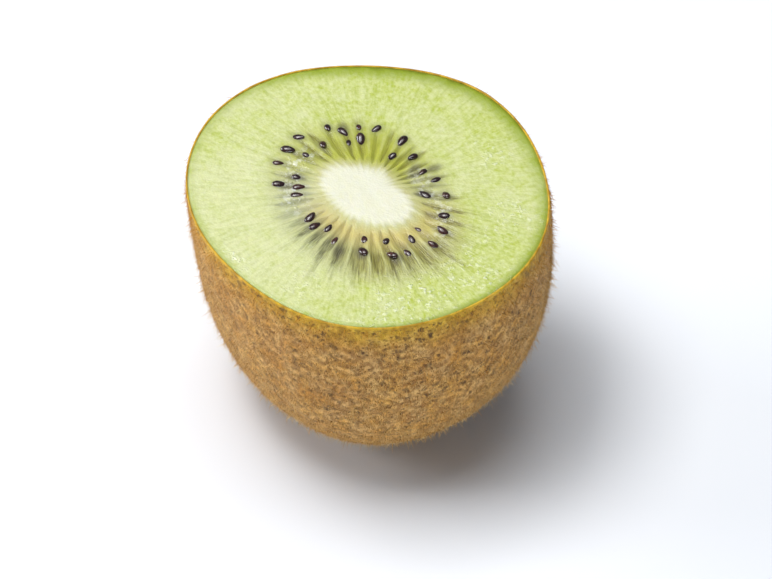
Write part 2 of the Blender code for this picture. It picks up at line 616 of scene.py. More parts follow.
# %% Skin tree
def folded_grid(tree, given):
    """The grid, knowing how far down each row lies and whether it is outside, and its X from 0 to 1."""
    rows = given["Rows inside"] + given["Rows outside"] + 1.0
    steps = {"Vertices X": given["Steps round"] + 1.0, "Vertices Y": rows + 1.0}
    grid = step(tree, "GeometryNodeMeshGrid", {"Size X": 1.0, "Size Y": 1.0} | steps)
    x, y, _ = split(here(tree))
    down, inside = fold_rows(given, calc("ROUND", (y + 0.5) * rows))
    grid = store(grid, "outside", 1.0 - inside)
    return store(grid, "down", down), down, inside, x + 0.5


def skin_tree():
    """The folded grid, shaped, joined along its seam and roughened."""
    tree, given = new_geometry_tree("Kiwi skin shell", SKIN_SIZES)
    grid, down, inside, along_girth = folded_grid(tree, given)

    outline = step(tree, "GeometryNodeMeshToCurve", {"Mesh": given["Geometry"]})
    sockets = {"Curves": outline, "Factor": along_girth}
    rim = outputs(tree, "GeometryNodeSampleCurve", sockets, mode="FACTOR", data_type="FLOAT")["Position"]
    inset = given["Inset"] + inside * given["Wall"]
    width, length = barrel(down, given["Barrel power"])
    side = scaled(rim, width * (1.0 - inset / length_of(rim)))
    bow = given["Bow"] * calc("SINE", length * math.pi)
    middle = joined(
        bow * calc("COSINE", given["Bow turn"]),
        bow * calc("SINE", given["Bow turn"]),
        given["Cut height"] - length * (given["Barrel length"] - inset),
    )
    shell = move(grid, Position=vector_calc("ADD", side, middle))
    shell = step(tree, "GeometryNodeFlipFaces", {"Mesh": shell})
    shell = step(tree, "GeometryNodeMergeByDistance", {"Geometry": shell, "Distance": SEAM_GAP})

    dents = bumps(tree, given["Dent height"], given["Dent width"], 1.0)
    pimples = bumps(tree, given["Pimple height"], given["Pimple width"], 3.0)
    below_rim = span(attribute(tree, "down"), 0.0, 0.03)
    shell = lift(shell, attribute(tree, "outside") * (dents + below_rim * pimples))
    close_tree(smooth(press_foot(shell, given)), SKIN)
    return tree


# %% Grow the skin
OUTLINE_POINTS = 720

outline_angles = np.linspace(0, math.tau, OUTLINE_POINTS, endpoint=False)
outline_points = [
    (radius * math.cos(angle), radius * math.sin(angle), 0.0)
    for angle, radius in zip(outline_angles, girth(outline_angles))
]
outline = new_mesh("girth", outline_points, closed_loop(OUTLINE_POINTS))
skin = grow("skin", skin_tree(), SKIN_SIZES, outline)


def signed_volume(mesh):
    """The volume that a closed mesh holds, which is negative if its faces point inwards."""
    total = 0.0
    for face in mesh.polygons:
        points = [mesh.vertices[i].co for i in face.vertices]
        for second, third in zip(points[1:], points[2:]):
            total += points[0].dot(second.cross(third)) / 6
    return total


print("skin volume, cubic mm:", round(signed_volume(skin.data) / MM**3, 1))

# %% [markdown]
# ## The plan of the cut face
#
# Round the core lies a ring of seed chambers, pulled out like flames, and pale walls between them that run
# on from the core. No two are alike, and the knife never cuts quite square, so the face differs from side
# to side: the core lies off the middle, and the chambers reach further and look darker on one side. A
# small table holds those differences. Places on the face are given as an angle and a share of the way
# from the core's axis to the rim. All are drawn once here, from a fixed seed, because the shape of the
# face, its colours and the seeds have to agree on them.

# %% Plan of the seed chambers
CHAMBERS = 36
CORE_HALF_LENGTH = 0.32  # this and the next two are shares of the way to the rim
CORE_HALF_WIDTH = 0.235
CORE_SHIFT = 0.042  # how far the core lies off the middle
CORE_SHIFT_TURN = math.radians(300)  # and to which side
CORE_TURN = math.radians(13)  # which way the core is long
FRINGE_SIDE = math.radians(325)  # the chambers fray out on this side

# How the face differs round the core. Each row holds an angle from +X, how far out the chambers reach
# and the seeds lie, how dark the chambers are, how fresh a green the flesh is, where a low value also
# stands for painted light, paler on the brightly lit side, and the width in millimetres and the strength
# of the green band under the skin
SIDES = np.array([
    (8, 0.69, 0.54, 0.94, 1.00, 1.8, 0.85),
    (56, 0.47, 0.39, 0.66, 0.55, 3.4, 0.65),
    (104, 0.43, 0.37, 0.58, 0.80, 3.8, 1.00),
    (146, 0.54, 0.50, 0.42, 0.85, 3.8, 1.10),
    (188, 0.57, 0.54, 0.72, 0.50, 3.0, 0.66),
    (236, 0.57, 0.50, 0.30, 0.05, 2.0, 0.50),
    (284, 0.57, 0.42, 0.80, 0.05, 1.1, 0.85),
    (326, 0.67, 0.47, 0.86, 0.70, 1.1, 1.05),
])


def by_side(angle, column):
    """One of the columns above, at any angle."""
    return np.interp(np.degrees(angle), SIDES[:, 0], SIDES[:, column], period=360)


chance = random.Random(4)


def uneven(middle, spread):
    """One number for each chamber, within spread of middle."""
    return middle + np.array([chance.uniform(-spread, spread) for _ in range(CHAMBERS)])


def ease(value, low, high):
    """0 below low, 1 above high, and a smooth rise between them."""
    share = np.clip((value - low) / (high - low), 0, 1)
    return share * share * (3 - 2 * share)


def fall(value, low, high):
    """1 below low, 0 above high, and a smooth fall between them."""
    return 1 - ease(value, low, high)


chamber_angle = (np.arange(CHAMBERS) + uneven(0.0, 0.2)) * math.tau / CHAMBERS
chamber_start = uneven(0.01, 0.03)  # past the core's edge
chamber_end = by_side(chamber_angle, 1) + uneven(0.0, 0.035)
chamber_width = uneven(0.36, 0.08)  # half of it, in steps from chamber to chamber
chamber_dark = by_side(chamber_angle, 3) + uneven(0.0, 0.2)


def core_edge(angle):
    """Where the core ends, as a share of the way to the rim."""
    turned = np.asarray(angle) - CORE_TURN
    oval = 1 / np.hypot(np.cos(turned) / CORE_HALF_LENGTH, np.sin(turned) / CORE_HALF_WIDTH)
    wavy = oval * (1 + 0.05 * np.cos(3 * turned + 0.6) + 0.04 * np.cos(4 * turned - 0.9))
    return wavy + CORE_SHIFT * np.cos(np.asarray(angle) - CORE_SHIFT_TURN)


def nearest_chamber(angle):
    """The number of the nearest chamber, and how far off its middle is, from 0 to a half."""
    before = chamber_angle[-1:] - math.tau
    after = chamber_angle[:1] + math.tau
    all_angles = np.concatenate([before, chamber_angle, after])
    count = np.interp(angle, all_angles, np.arange(-1, CHAMBERS + 1))
    nearest = np.round(count)
    return nearest.astype(int) % CHAMBERS, np.abs(count - nearest)


print("chambers:", CHAMBERS, "first angles:", np.round(np.degrees(chamber_angle[:4]), 1))

# %% [markdown]
# ## Seeds: where they lie
#
# The knife lays open some of the seeds. A chamber may show one in an inner row and one in an outer row,
# each with its point towards the core. They lie a little askew and at different depths, so that some show
# whole and some are half sunk in the clear jelly. A seed that would touch another is left out. A dozen
# more lie under the cut and only darken the flesh above them. The draw has its own fixed seed number, so
# that they can be redrawn without changing the chambers.

# %% Places of the seeds
SEED_LENGTH = 1.95 * MM
SEED_WIDTH = 1.3 * MM
SEED_THICKNESS = 1.0 * MM
INNER_ROW_CHANCE = 0.62
OUTER_ROW_CHANCE = 0.8
BURIED_SEEDS = 12
BURIED_DEPTH = 1.0 * MM
SEED_CLEARANCE = 1.1  # how far apart two seeds lie at least, in seed lengths or widths

chance = random.Random(3789)


def seed_at(number, share, sunk):
    """A seed in one of the chambers, at a share of the way to the rim, with its own turn and size."""
    return {
        "angle": float(chamber_angle[number]) + chance.gauss(0, 0.032),
        "share": share + chance.gauss(0, 0.012),
        "turn": chance.gauss(0, 0.33),
        "tilt": chance.uniform(-0.4, 0.4),
        "size": chance.uniform(0.75, 1.1),
        "sunk": sunk,
    }


def is_clear(seed, others):
    """Whether a seed lies clear of all the others."""
    out = float(girth(seed["angle"]))
    for other in others:
        ahead = (seed["share"] - other["share"]) * out
        aside = (seed["angle"] - other["angle"]) * seed["share"] * out
        if math.hypot(ahead / SEED_LENGTH, aside / SEED_WIDTH) < SEED_CLEARANCE:
            return False
    return True


def place_seeds():
    """The seeds that the cut laid open, in two uneven rows."""
    places = []
    for number in range(CHAMBERS):
        outer = by_side(chamber_angle[number], 2) + chance.uniform(-0.03, 0.02)
        inner = max(float(core_edge(chamber_angle[number])) + 0.06, outer - chance.uniform(0.09, 0.14))
        outer_seed = seed_at(number, outer, chance.uniform(0.05, 0.4) * MM)
        inner_seed = seed_at(number, inner, chance.uniform(0.1, 0.5) * MM)
        for seed, likely in ((outer_seed, OUTER_ROW_CHANCE), (inner_seed, INNER_ROW_CHANCE)):
            if chance.random() < likely and is_clear(seed, places):
                places.append(seed)
    return places


def place_buried_seeds():
    """Seeds that lie under the cut and only show as soft dark spots."""
    places = []
    for _ in range(BURIED_SEEDS):
        number = chance.randrange(CHAMBERS)
        out = by_side(chamber_angle[number], 2) + chance.uniform(-0.10, 0.03)
        places.append(seed_at(number, out, BURIED_DEPTH))
    return places


seeds = place_seeds()
buried_seeds = place_buried_seeds()
print("seeds laid open:", len(seeds), "and buried:", len(buried_seeds))

# %% [markdown]
# ## Relief and masks of the cut face
#
# The face is a round grid of rings and spokes. At each of its points this cell works out how far the point
# is inside the core, inside a chamber or beside a seed, and how high it stands: the core is a little
# proud, the chambers are sunk, the knife left faint waves, and every cell of the flesh is a tiny
# cushion. On one side the chambers fray out in dark streaks. The masks go on the mesh as attributes, so
# that the colours fall exactly on the shapes.

# %% Sizes of the relief
SPOKES = 720
RINGS = 140
FLESH_INSET = SKIN_SIZES["Inset"] + SKIN_SIZES["Wall"] - 0.12 * MM  # reaches a little into the skin
GREENER_SIDE = math.radians(140)  # where the chambers are olive green
# Painted highlights: on this side the beads of juice are also painted pale as glints
JUICE_GLINT_SIDE = math.radians(0)  # where beads of juice stand on the outer flesh
# On this side and the opposite one, pale glints are painted on the wet chambers
WET_GLINT_SIDE = math.radians(228)  # here and on the opposite side the chambers are wet
TANNED_SIDE = math.radians(320)  # where the core's edge is tan
CORE_RISE = 0.22 * MM
CHAMBER_DEPTH = 0.18 * MM
KNIFE_WAVES = 0.10 * MM
STRAND_RISE = 0.02 * MM
CELL_RISE = 0.014 * MM
RIM_DROP = 0.16 * MM  # the soft flesh sinks a little beside the skin
DRUM_RADIUS = 30 * MM
DRUM_HEIGHT = 5 * MM


# %% The round grid and its noise
def noise_at(points, size, number):
    """Smooth noise between about -1 and 1, with features of this size. Each number is another noise."""
    shift = Vector((7.3, 3.1, 5.7)) * number
    values = [noise.noise(Vector(point) / size + shift) for point in points.reshape(-1, 3).tolist()]
    return np.array(values).reshape(points.shape[:-1])


spoke_angle = np.arange(SPOKES) * math.tau / SPOKES
share, angle = np.meshgrid(np.arange(1, RINGS + 1) / RINGS, spoke_angle, indexing="ij")
flesh_radius = girth(spoke_angle) - FLESH_INSET
place_x = share * flesh_radius * np.cos(angle)
place_y = share * flesh_radius * np.sin(angle)
flat_place = np.stack([place_x, place_y, np.zeros_like(place_x)], axis=-1)


def face_noise(size, number):
    """Noise over the face."""
    return noise_at(flat_place, size, number)


def towards(side, low, high):
    """0 away from one side of the face, 1 on it."""
    return ease(np.cos(angle - side), low, high)


wander = 0.030 * face_noise(5 * MM, 1) + 0.010 * face_noise(1.2 * MM, 2)
chamber, off_middle = nearest_chamber((angle + wander) % math.tau)
# Noise on a wide drum makes streaks that run out from the core
on_drum = np.stack([np.cos(angle) * DRUM_RADIUS, np.sin(angle) * DRUM_RADIUS, share * DRUM_HEIGHT], axis=-1)
strands = noise_at(on_drum, 0.9 * MM, 4)

# %% Core, chambers and walls
scallop = np.cos(math.tau * off_middle)  # 1 in the middle of a chamber, -1 between two
# The core's edge is drawn in where a chamber starts. On one side it is tan, and the chambers are frayed
edge = core_edge(angle) * (1 - 0.025 * scallop) + 0.012 * face_noise(1.5 * MM, 3) + 0.005 * strands
off_core = share - edge
core = fall(off_core, -0.11, 0.065)
tanned = towards(TANNED_SIDE, 0.0, 0.9) * fall(off_core, 0.04, 0.19)
fringe = towards(FRINGE_SIDE, 0.0, 0.9)

along = (share - edge - chamber_start[chamber]) / (chamber_end[chamber] - edge - chamber_start[chamber])
along = np.clip(along, 0, 1)
flame = along**0.5 * (1 - along) ** 0.9 / 0.46  # width along a chamber: blunt at the core, pointed outside
off_edge = off_middle - chamber_width[chamber] * flame
# The chamber itself, the darker line along its wall, and the streak that it ends in
hollow = fall(off_edge, -0.26, 0.14) * ease(flame, 0.0, 0.45)
line = np.exp(-((off_edge / 0.07) ** 2)) * ease(along, 0.02, 0.15) * fall(along, 0.6, 1.0)
line = line * np.clip(0.6 + 0.9 * face_noise(1.6 * MM, 9), 0, 1) * (0.4 + 0.6 * fringe)
tail = fall(off_middle, 0.02, 0.36) * ease(along, 0.45, 0.8) * (0.25 + 0.75 * fringe)
tail = tail * fall(share - chamber_end[chamber], -0.06, 0.16)
dark = np.clip((hollow + 0.6 * tail) * (1 + 0.7 * strands), 0, 1) * chamber_dark[chamber]
past_ring = share - by_side(angle, 1)  # how far outside the ring of chambers
shade = fringe * ease(off_core, 0.07, 0.17) * fall(past_ring, -0.14, 0.06)
dark = np.clip(np.maximum(dark, shade * (0.72 + 0.5 * strands)), 0, 1)
# The pale walls between two chambers
wall = ease(off_middle + 0.12 * strands, 0.34, 0.52) * ease(off_core, 0.04, 0.12)
wall = wall * fall(share, 0.48, 0.58 + 0.16 * fringe) * (0.4 + 0.6 * fringe)


# %% Round the seeds
def seed_place(seed):
    """The X and Y of a seed."""
    out = seed["share"] * float(girth(seed["angle"]) - FLESH_INSET)
    return out * math.cos(seed["angle"]), out * math.sin(seed["angle"])


def near_seed(seed, spread):
    """1 at a seed, falling to 0 at spread times its size."""
    seed_x, seed_y = seed_place(seed)
    off_x = place_x - seed_x
    off_y = place_y - seed_y
    facing = seed["angle"] + seed["turn"]
    ahead = off_x * math.cos(facing) + off_y * math.sin(facing)
    aside = off_y * math.cos(facing) - off_x * math.sin(facing)
    return fall(np.hypot(ahead / (SEED_LENGTH / 2), aside / (SEED_WIDTH / 2)), 0.3, spread)


# %% Freshness with painted light, juice with painted glints, and the green band
# Where freshness is low the flesh is paler and greyer: partly its own colour, partly painted light on the
# brightly lit side
fresh_and_shaded = np.clip(by_side(angle, 4) + 0.6 * face_noise(7 * MM, 7), 0, 1)
# Beads of juice near the rim and the wet chambers; both get painted pale glints in the colour
juice_and_glints = ease(face_noise(6 * MM, 8) + 0.6 * np.cos(angle - JUICE_GLINT_SIDE), 0.0, 0.6) * ease(share, 0.55, 0.75)
in_ring = ease(off_core, 0.03, 0.09) * fall(past_ring, -0.14, -0.02)
# The wet chambers where pale glints are painted
wet_glinting_chambers = ease(np.abs(np.cos(angle - WET_GLINT_SIDE)), 0.6, 0.95) * in_ring
juice_and_glints = np.maximum(juice_and_glints, wet_glinting_chambers)
inner_flesh = fall(past_ring, -0.16, 0.07)
greener = towards(GREENER_SIDE, -0.2, 1.0)
under_skin = np.clip(1 - (1 - share) * flesh_radius / (by_side(angle, 5) * MM), 0, 1) ** 1.4
under_skin = under_skin * by_side(angle, 6)
# A mask round each laid-open seed: the chamber is shallower there, and a painted shade darkens the flesh
# round the seed
beside_seed = np.max([near_seed(seed, 2.2) for seed in seeds], axis=0)
over_buried = np.max([near_seed(seed, 1.8) for seed in buried_seeds], axis=0)

# %% Masks and relief
MASKS = dict(
    core=core, dark=dark, wall=wall, tanned=tanned, beside=beside_seed, buried=over_buried, line=line,
    fresh_and_shaded=fresh_and_shaded, juice_and_glints=juice_and_glints, inner=inner_flesh, greener=greener, under_skin=under_skin,
)
# What a mask is at the middle point of the face, and below the face, where it isn't 0
AT_MIDDLE = {"core": 1.0, "fresh_and_shaded": 0.5, "inner": 1.0}
BELOW_FACE = {"fresh_and_shaded": 0.5, "under_skin": 1.0}

relief = (
    KNIFE_WAVES * face_noise(14 * MM, 6)
    + CORE_RISE * core
    - CHAMBER_DEPTH * hollow * (1 - 0.4 * beside_seed)
    + STRAND_RISE * strands * (1 - core)
    + CELL_RISE * face_noise(0.55 * MM, 5)
    - RIM_DROP * ease(share, 0.978, 1.0)
)
print("relief, mm:", round(relief.min() / MM, 2), "to", round(relief.max() / MM, 2))

# %% [markdown]
# ## Flesh material
#
# The flesh lets light in and scatters it, so its shadows are soft and its colour glows. A Principled
# shader does that with its subsurface sockets, and its coat is the film of juice. The colours are laid
# one over the other: pale green flesh with fine fibres, paler and greyer where it also paints the brighter
# light on one side, pale painted glints on beads of juice, a deeper green band under the skin, the greyish
# or olive flesh round the chambers, their dark streaky jelly, the pale walls, a painted shade round each
# seed, pale painted glints on the wet jelly and the tan edge of the core. The cream core goes on last.
# Beads of juice and fine ridges in the jelly are bumps too.


# %% Colours of the flesh
def fibres(tree, width, contrast):
    """Streaks that run out from the core, from 0 to 1, about this many millimetres wide at the rim."""
    sockets = {"Vector": stored(tree, "drum", "Vector"), "Scale": 1.0 / width, "Detail": 3.0}
    return contrasted(step(tree, "ShaderNodeTexNoise", sockets), contrast)


def flesh_tone(tree, fine, beads_with_glints):
    """The colour of the face. Its second argument holds the finest fibres, and its third the beads of
    juice, whose pale paint is partly a painted glint.
    """
    core, fresh_and_shaded, greener, inner, under_skin = (
        stored(tree, name) for name in ("core", "fresh_and_shaded", "greener", "inner", "under_skin")
    )
    patchy = (mottle(tree, 1.6, 2.4) - 0.5) * 0.8
    # Pale flesh where freshness is low, partly painted light on the brightly lit side
    flesh = mix(fresh_and_shaded + patchy, (210, 212, 164), (178, 191, 68))
    rim = under_skin + (mottle(tree, 3.0, 1.5) - 0.5) * 0.5 * under_skin
    greyish = mix(fresh_and_shaded, (184, 187, 142), (184, 180, 98))
    olive = mix(mottle(tree, 1.5, 1.5), (160, 164, 56), (184, 188, 76))
    jelly = mix(greener, mix(fresh_and_shaded, (124, 126, 92), (120, 112, 52)), (134, 130, 42))
    # Painted highlights: pale glints on the wet jelly in the chambers
    glints = flecks(tree, 0.8, 0.25, 0.45) * stored(tree, "juice_and_glints") * inner
    flesh = lay_over(flesh, [
        (fibres(tree, 1.0, 3.4), 0.36, (160, 176, 64)),
        (fine, 0.34, (222, 226, 166)),
        (mottle(tree, 0.6, 3.8), 0.45, (224, 228, 180)),
        # Painted highlights: the beads of juice are paler, partly their own lighter cells, partly painted
        # glints
        (beads_with_glints, 0.65, (244, 246, 220)),
        (span(rim, 0.0, 0.85), 0.92, (140, 158, 8)),
        (span(rim, 0.7, 1.0), 0.7, (100, 112, 10)),
        (inner, 1.0, mix(greener, greyish, olive)),
        (stored(tree, "dark"), 1.24 - fine * 0.9, jelly),
        (stored(tree, "wall"), 0.8, (208, 210, 152)),
        (stored(tree, "line"), 0.35, (90, 88, 46)),
        # Painted shade round each seed
        (stored(tree, "beside"), 0.3, (88, 86, 66)),
        (stored(tree, "buried"), 0.6, (78, 72, 62)),
        (glints, 0.7, (228, 230, 216)),
        (stored(tree, "tanned"), 0.7, (208, 190, 118)),
    ])
    cream = mix(mottle(tree, 2.0, 1.2), (232, 231, 214), (222, 221, 194))
    pith = mix(mottle(tree, 1.2, 2.0), (194, 190, 134), (202, 202, 150))
    return mix(span(core, 0.0, 0.7), flesh, mix(span(core, 0.5, 1.0), pith, cream))


# %% Flesh material
def flesh_material():
    material, tree, shader = new_material("kiwi flesh")
    fine = fibres(tree, 0.4, 4.0)
    # Beads of juice: bumps and a wet coat, and in the colour pale painted glints
    beads_with_glints = flecks(tree, 1.0, 0.14, 0.34) * stored(tree, "juice_and_glints")
    grain = bumpy(mottle(tree, 0.28, 2.0, 3.0), 0.05, 0.6)
    combed = bumpy(fine * stored(tree, "dark"), 0.06, Normal=grain)
    beads = bumpy(beads_with_glints, 0.10, Normal=combed)
    feed(shader, {
        "Base Color": flesh_tone(tree, fine, beads_with_glints),
        "Normal": beads,
        "Roughness": mottle(tree, 0.8, 2.0) * 0.2 + 0.32,
        "Specular IOR Level": 0.4,
        "Coat Weight": beads_with_glints * 0.7 + 0.3,
        "Coat Roughness": 0.12,
        "Coat Normal": beads,
        "Subsurface Weight": 0.6,
        "Subsurface Radius": (1.0, 0.9, 0.45),
        "Subsurface Scale": 1.4 * MM,
    })
    return material


FLESH = flesh_material()
print("flesh material has", len(FLESH.node_tree.nodes), "nodes")

# %% [markdown]
# ## Flesh
#
# The rings and spokes become one closed body: the relief on top, then a plain wall inside the skin down
# to the tip. The wall reaches about a tenth of a millimetre into the skin, so that no gap can show there.

# %% Flesh body
WALL_ROWS = 14
WALL_TOP = 0.2 * MM  # how far below the cut the wall starts


def flesh_rings():
    """All rings of the body from the core outwards and down inside the skin."""
    rings = list(np.stack([place_x, place_y, CUT_HEIGHT + relief], axis=-1))
    for row in range(1, WALL_ROWS):
        width, length = barrel(row / WALL_ROWS)
        height = CUT_HEIGHT - WALL_TOP - (BARREL_LENGTH - FLESH_INSET - WALL_TOP) * length
        middle_x, middle_y = middle_line(length)
        x = middle_x + flesh_radius * width * np.cos(spoke_angle)
        y = middle_y + flesh_radius * width * np.sin(spoke_angle)
        rings.append(np.stack([x, y, np.full(SPOKES, height)], axis=-1))
    return np.array(rings)


def flesh_body():
    """The closed mesh, with the masks stored on it."""
    rings = flesh_rings()
    count = len(rings)
    top = (0.0, 0.0, CUT_HEIGHT + float(relief[0].mean()))
    tip = (0.0, 0.0, CUT_HEIGHT - (BARREL_LENGTH - FLESH_INSET))
    points = np.concatenate([[top], rings.reshape(-1, 3), [tip]])
    around = closed_loop(SPOKES)
    last = 1 + (count - 1) * SPOKES
    faces = [(0, 1 + i, 1 + j) for i, j in around]
    for start in range(1, last, SPOKES):
        beyond = start + SPOKES
        faces += [(start + i, beyond + i, beyond + j, start + j) for i, j in around]
    faces += [(len(points) - 1, last + j, last + i) for i, j in around]
    mesh = new_mesh("flesh", points.tolist(), faces=faces)
    mesh.shade_smooth()
    mesh.materials.append(FLESH)
    for name, values in MASKS.items():
        below = BELOW_FACE.get(name, 0.0)
        walls = np.full((count - RINGS) * SPOKES, below)
        keep(mesh, name, np.concatenate([[AT_MIDDLE.get(name, 0.0)], values.ravel(), walls, [below]]))
    pole = np.zeros((1, 3))
    walls = np.broadcast_to(on_drum[-1], (count - RINGS, SPOKES, 3))
    keep(mesh, "drum", np.concatenate([pole, on_drum.reshape(-1, 3), walls.reshape(-1, 3), pole]) / MM)
    return new_object("flesh", mesh)


flesh = flesh_body()
print("flesh volume, cubic mm:", round(signed_volume(flesh.data) / MM**3, 1))

# %% [markdown]
# ## Seeds
#
# A seed is a flat teardrop with a hard, glossy, purple-black coat. Geometry Nodes put one on each place:
# the tree draws the teardrop from a sphere, copies it to the points with their own turn and size, and
# roughens the copies once they are real mesh, so that no two are the same.


# %% Seed material
def seed_material():
    material, tree, shader = new_material("kiwi seed")
    coat = mix(stored(tree, "tone"), (44, 20, 20), (84, 46, 40))
    feed(shader, {
        "Base Color": mix(mottle(tree, 0.5, 2.4), coat, (26, 12, 14)),
        "Normal": bumpy(mottle(tree, 0.16, 2.0, 2.0), 0.03, 0.5),
        "Roughness": mottle(tree, 0.4, 1.5) * 0.2 + 0.2,
        "Coat Weight": 0.8,
        "Coat Roughness": 0.08,
    })
    return material


# %% Seeds
SEED_SIZES = {
    "Segments": 18,
    "Rings": 12,
    "Length": SEED_LENGTH,
    "Width": SEED_WIDTH,
    "Thickness": SEED_THICKNESS,
    "Taper": 0.42,
    "Roughening": 0.07 * MM,
    "Roughening width": 0.7 * MM,
}
SEED_PROUD = 0.15  # how far a seed's middle lies above the flesh if it isn't sunk, in seed thicknesses


def seed_tree():
    """Teardrops on points, turned and sized by the points' own attributes."""
    tree, given = new_geometry_tree("Kiwi seeds", SEED_SIZES)
    sockets = {"Segments": given["Segments"], "Rings": given["Rings"], "Radius": 0.5}
    ball = step(tree, "GeometryNodeMeshUVSphere", sockets)
    x, y, z = split(here(tree))
    narrowing = given["Taper"] * (0.5 - z)
    girth_share = 1.0 - narrowing * (narrowing + 0.5)
    lying = joined(
        z * given["Length"], x * given["Width"] * girth_share, y * given["Thickness"] * girth_share
    )
    turns = attribute(tree, "turns", "FLOAT_VECTOR")
    sockets = {
        "Points": step(tree, "GeometryNodeMeshToPoints", {"Mesh": given["Geometry"]}),
        "Instance": smooth(move(ball, Position=lying)),
        "Rotation": step(tree, "FunctionNodeEulerToRotation", {0: turns}),
        "Scale": attribute(tree, "size"),
    }
    copies = realized(step(tree, "GeometryNodeInstanceOnPoints", sockets))
    rough = bumps(tree, given["Roughening"], given["Roughening width"], 2.0)
    close_tree(lift(copies, rough), seed_material())
    return tree


def seed_points():
    """A point for each seed, with its turn, size and tone."""
    places = []
    for seed in seeds:
        ring = min(int(round(seed["share"] * RINGS)) - 1, RINGS - 1)
        spoke = int(round(seed["angle"] / math.tau * SPOKES)) % SPOKES
        surface_height = CUT_HEIGHT + float(relief[ring, spoke])
        height = surface_height + seed["size"] * (SEED_PROUD * SEED_THICKNESS - seed["sunk"])
        places.append((*seed_place(seed), height))
    mesh = new_mesh("seed places", places)
    keep(mesh, "turns", np.array([(0.0, seed["tilt"], seed["angle"] + seed["turn"]) for seed in seeds]))
    keep(mesh, "size", np.array([seed["size"] for seed in seeds]))
    keep(mesh, "tone", np.array([chance.random() for _ in seeds]))
    return mesh


seed_piece = grow("seeds", seed_tree(), SEED_SIZES, seed_points())
print("seeds volume, cubic mm:", round(signed_volume(seed_piece.data) / MM**3, 1))

# %% [markdown]
# ## Hair material
#
# The hairs are dry and dull, from straw to rust brown, and paler at their tips, where light comes through.
# Each hair has its own tone, drawn when it is placed, and knows how far along it a point lies. Patches a
# few hairs wide are paler or darker, and near the cut the wet skin tints the hairs golden.


# %% Hair material
GOLDEN_DEPTH = 7 * MM  # how far below the cut the golden tint reaches


def hair_material():
    material, tree, shader = new_material("kiwi hair")
    own_tone = stored(tree, "tone")
    root = mix(own_tone, (124, 74, 16), (240, 176, 78))
    tip = mix(own_tone, (212, 142, 52), (255, 240, 172))
    _, _, height = split(object_place(tree))
    near_cut = span(height, CUT_HEIGHT - GOLDEN_DEPTH, CUT_HEIGHT, 0.0, 0.8)
    tone = lay_over(mix(stored(tree, "along"), root, tip), [
        (mottle(tree, 2.6, 3.2), 0.45, (222, 184, 124)),
        (mottle(tree, 1.4, 3.4), 0.36, (136, 82, 20)),
        (near_cut, 1.0, (204, 140, 2)),
    ])
    feed(shader, DRY_GLOSS | {"Base Color": tone, "Roughness": 0.6, "Sheen Weight": 0.2})
    return material


HAIR = hair_material()
print("hair material has", len(HAIR.node_tree.nodes), "nodes")

# %% [markdown]
# ## Hairs
#
# The coat is three kinds of hair: long ones that bend over towards the tip, short ones between them, and a
# down of tiny spikes that roughens the skin. So many can't be modelled one by one, and particles
# don't leave Blender as mesh, so one Geometry Nodes tree scatters a few drawn hairs over the skin and
# turns the copies into mesh. It runs three times with other sizes. Each hair keeps to the surface's
# normal, leans down the side, and is turned and sized at random. Neighbours have like lengths and tones,
# so that the coat lies in tufts.

# %% One bent hair
HAIR_SHAPES = 5
ROOT_SINK = 0.06  # share of its length that a hair is sunk into the skin
LOWEST_HAIR = 0.02 * MM  # no hair goes into the table


def bent_hair(tree, given, number):
    """One hair: a thin three-sided spike, bent over to one side. Each number is bent differently."""
    sockets = {
        "Vertices": 3,
        "Side Segments": given["Joints"],
        "Radius Top": 0.0,
        "Radius Bottom": given["Thickness"] / 2.0,
        "Depth": given["Length"],
    }
    _, _, z = split(here(tree))
    spike = store(step(tree, "GeometryNodeMeshCone", sockets), "along", z / given["Length"])
    along = attribute(tree, "along")
    bend = given["Bend"] * (0.4 + 1.2 * number / (HAIR_SHAPES - 1))
    aside = bend * along * (along * given["Length"])
    sink = bend * aside * -0.35
    return move(spike, Offset=joined(aside, 0.0, sink + given["Length"] * -ROOT_SINK))


# %% Where the hairs stand and how they lean
def drawn(tree, low, high, number):
    """A random number for each hair, the same on every run."""
    sockets = {2: low, 3: high, 8: number}
    return Flow(add(tree, "FunctionNodeRandomValue", sockets, data_type="FLOAT").outputs[1])


def hair_roots(tree, given):
    """Points on the outside of the skin, each with its hair's tone and size, and their rotations."""
    _, _, z = split(here(tree))
    outside = calc("GREATER_THAN", attribute(tree, "outside"), 0.99)
    sockets = {"Vector": here(tree), "Scale": 1.0 / given["Patch width"], "Detail": 2.0}
    patches = step(tree, "ShaderNodeTexNoise", sockets)
    sockets = {
        "Mesh": given["Geometry"],
        "Selection": calc("LESS_THAN", z, given["Highest root"]) * outside,
        "Distance Min": given["Spacing"],
        "Density Max": given["Hairs per square metre"],
        "Density Factor": span(patches, 0.25, 0.6, given["Thinnest"], 1.0),
        "Seed": given["Seed"],
    }
    scatter = outputs(tree, "GeometryNodeDistributePointsOnFaces", sockets, distribute_method="POISSON")
    tallness = span(bumps(tree, 1.0, given["Tuft width"] * 1.3, 1.0), -0.16, 0.16, 0.62, 1.15)
    tone = bumps(tree, 2.1, given["Tuft width"], 1.0) + drawn(tree, 0.15, 0.85, 1)
    roots = store(scatter["Points"], "tone", tone)
    return store(roots, "size", tallness * drawn(tree, 0.65, 1.1, 4)), scatter["Rotation"]


